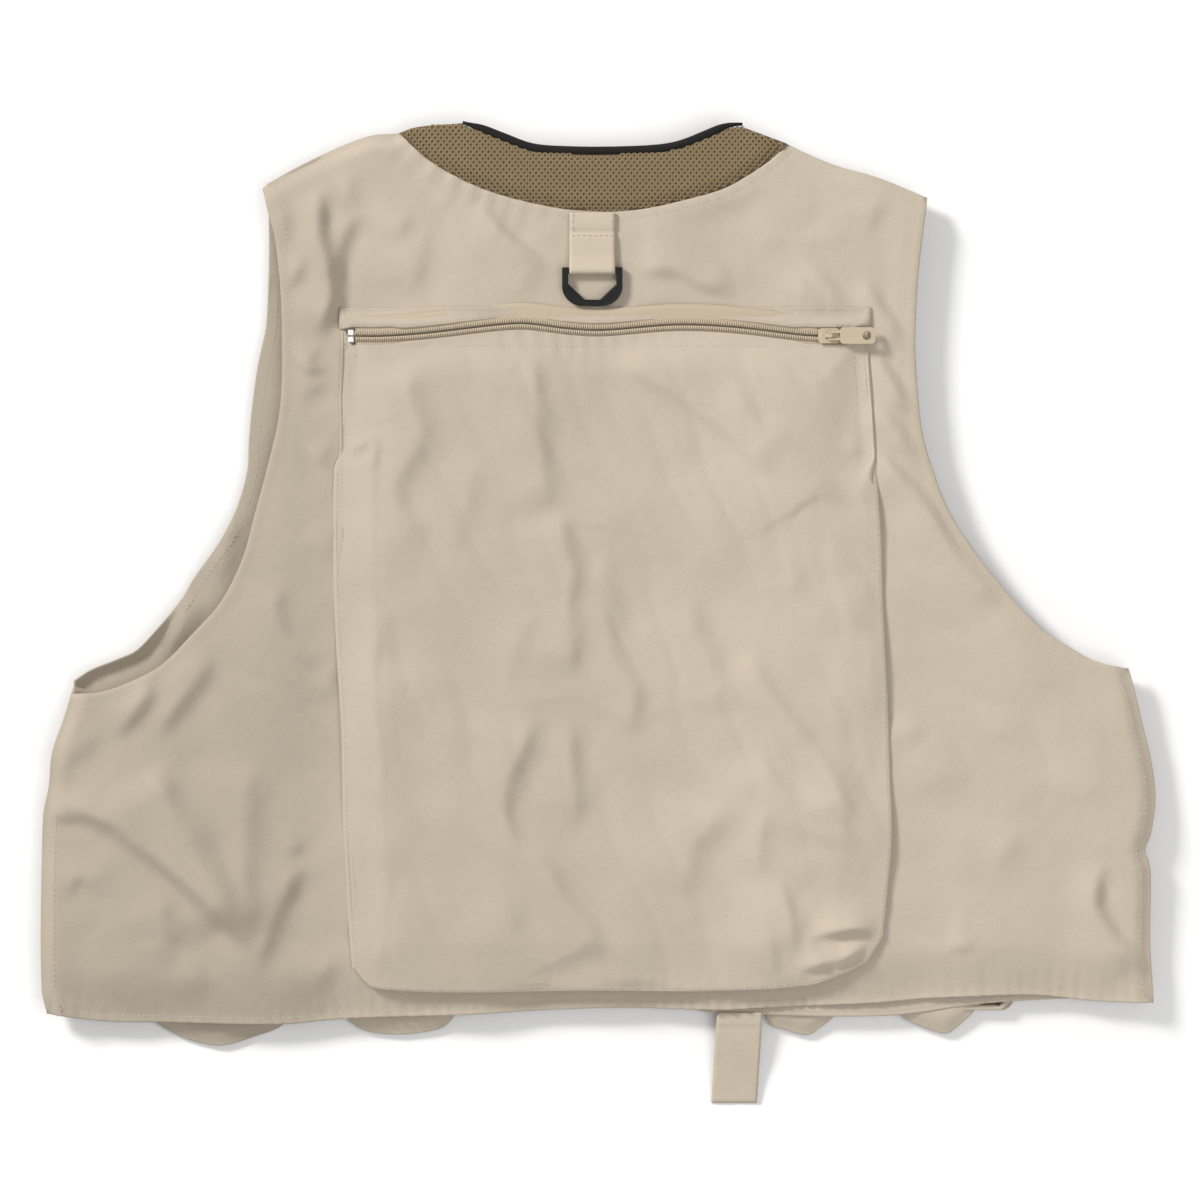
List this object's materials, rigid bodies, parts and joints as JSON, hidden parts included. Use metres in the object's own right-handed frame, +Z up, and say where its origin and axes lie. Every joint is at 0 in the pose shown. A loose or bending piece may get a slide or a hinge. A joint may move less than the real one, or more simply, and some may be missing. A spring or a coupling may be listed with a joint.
{
  "type": "fishing vest",
  "caption": "Short cloth fishing vest lying on its front, with a mesh collar, a ring on a tab, a zipped back cargo pocket, flapped front pockets and a hem strap.",
  "frame": {"origin": "centre of the whole vest on the surface that it lies on", "axes": "+X towards the wearer's right, +Y towards the collar, +Z up, out of the vest's back"},
  "size_m": [0.62, 0.548, 0.0234],
  "materials": {
    "vest_cloth": "plain weave cotton and polyester cloth, matt",
    "collar_mesh": "knitted spacer mesh with oval holes",
    "binding": "smooth woven binding tape",
    "ring_plastic": "moulded, glossy",
    "zip_enamel": "enamelled die-cast zinc",
    "zip_coil": "dyed nylon coil",
    "zip_tape": "woven polyester tape",
    "zip_stops": "crimped metal",
    "hook_and_loop": "hook and loop tape"
  },
  "bodies": {
    "vest": {"armhole_facing_left": "vest_cloth", "armhole_facing_right": "vest_cloth", "back_panel": "vest_cloth", "back_pocket_gusset": "vest_cloth", "back_pocket_panel": "vest_cloth", "back_zip_coil_lower": "zip_coil", "back_zip_coil_upper": "zip_coil", "back_zip_end_stop": "zip_stops", "back_zip_tape_lower": "zip_tape", "back_zip_tape_upper": "zip_tape", "back_zip_top_stops": "zip_stops", "back_zip_welt": "vest_cloth", "chest_pocket_gusset_left": "vest_cloth", "chest_pocket_gusset_right": "vest_cloth", "chest_pocket_loop_pad_left": "hook_and_loop", "chest_pocket_loop_pad_right": "hook_and_loop", "chest_pocket_panel_left": "vest_cloth", "chest_pocket_panel_right": "vest_cloth", "collar_binding": "binding", "collar_mesh": "collar_mesh", "front_facing_left": "vest_cloth", "front_facing_right": "vest_cloth", "front_panel_left": "vest_cloth", "front_panel_right": "vest_cloth", "front_zip_box": "zip_stops", "front_zip_coil_left": "zip_coil", "front_zip_coil_right": "zip_coil", "front_zip_pin": "zip_stops", "front_zip_tape_left": "zip_tape", "front_zip_tape_right": "zip_tape", "front_zip_top_stops": "zip_stops", "lower_pocket_gusset_left": "vest_cloth", "lower_pocket_gusset_right": "vest_cloth", "lower_pocket_loop_pad_left": "hook_and_loop", "lower_pocket_loop_pad_right": "hook_and_loop", "lower_pocket_panel_left": "vest_cloth", "lower_pocket_panel_right": "vest_cloth", "shoulder_seam_left": "vest_cloth", "shoulder_seam_right": "vest_cloth", "side_seam_left": "vest_cloth", "side_seam_right": "vest_cloth"},
    "back_zip_slider": {"back_zip_slider": "zip_enamel"},
    "back_zip_pull": {"back_zip_pull": "zip_enamel"},
    "ring_tab": {"ring_tab": "vest_cloth"},
    "d_ring": {"d_ring": "ring_plastic"},
    "hem_strap": {"hem_strap": "vest_cloth"},
    "front_zip_slider": {"front_zip_slider": "zip_enamel"},
    "front_zip_pull": {"front_zip_pull": "zip_enamel"},
    "lower_pocket_flap_left": {"lower_pocket_flap_left": "vest_cloth", "lower_pocket_hook_pad_left": "hook_and_loop"},
    "lower_pocket_flap_right": {"lower_pocket_flap_right": "vest_cloth", "lower_pocket_hook_pad_right": "hook_and_loop"},
    "chest_pocket_flap_left": {"chest_pocket_flap_left": "vest_cloth", "chest_pocket_hook_pad_left": "hook_and_loop"},
    "chest_pocket_flap_right": {"chest_pocket_flap_right": "vest_cloth", "chest_pocket_hook_pad_right": "hook_and_loop"}
  },
  "joints": [
    {"name": "back_zip_slide", "type": "slide", "parent": "vest", "child": "back_zip_slider", "axis": [-1, 0, 0], "range_m": [0, 0.257]},
    {"name": "back_pull_flip", "type": "hinge", "parent": "back_zip_slider", "child": "back_zip_pull", "pos_m": [0.1277, 0.1537, 0.022], "axis": [0, -1, 0], "range_deg": [0, 165]},
    {"name": "ring_tab_lift", "type": "hinge", "parent": "vest", "child": "ring_tab", "pos_m": [-0.0035, 0.2218, 0.0171], "axis": [-1, 0, 0], "range_deg": [0, 110]},
    {"name": "d_ring_lift", "type": "hinge", "parent": "ring_tab", "child": "d_ring", "pos_m": [-0.0035, 0.19, 0.01888], "axis": [-1, 0, 0], "range_deg": [0, 160]},
    {"name": "hem_strap_lift", "type": "hinge", "parent": "vest", "child": "hem_strap", "pos_m": [0.0787, -0.2256, 0.008], "axis": [-1, 0, 0], "range_deg": [0, 85]},
    {"name": "front_zip_slide", "type": "slide", "parent": "vest", "child": "front_zip_slider", "axis": [0, -1, 0], "range_m": [0, 0.3344]},
    {"name": "front_pull_flip", "type": "hinge", "parent": "front_zip_slider", "child": "front_zip_pull", "pos_m": [0, 0.1307, 0.004], "axis": [1, 0, 0], "range_deg": [0, 165]},
    {"name": "lower_pocket_flap_left_open", "type": "hinge", "parent": "vest", "child": "lower_pocket_flap_left", "pos_m": [-0.157, -0.057, 0.0065], "axis": [1, 0, 0], "range_deg": [0, 150]},
    {"name": "lower_pocket_flap_right_open", "type": "hinge", "parent": "vest", "child": "lower_pocket_flap_right", "pos_m": [0.157, -0.057, 0.0065], "axis": [1, 0, 0], "range_deg": [0, 150]},
    {"name": "chest_pocket_flap_left_open", "type": "hinge", "parent": "vest", "child": "chest_pocket_flap_left", "pos_m": [-0.1, 0.13, 0.0065], "axis": [1, 0, 0], "range_deg": [0, 150]},
    {"name": "chest_pocket_flap_right_open", "type": "hinge", "parent": "vest", "child": "chest_pocket_flap_right", "pos_m": [0.1, 0.13, 0.0065], "axis": [1, 0, 0], "range_deg": [0, 150]}
  ]
}
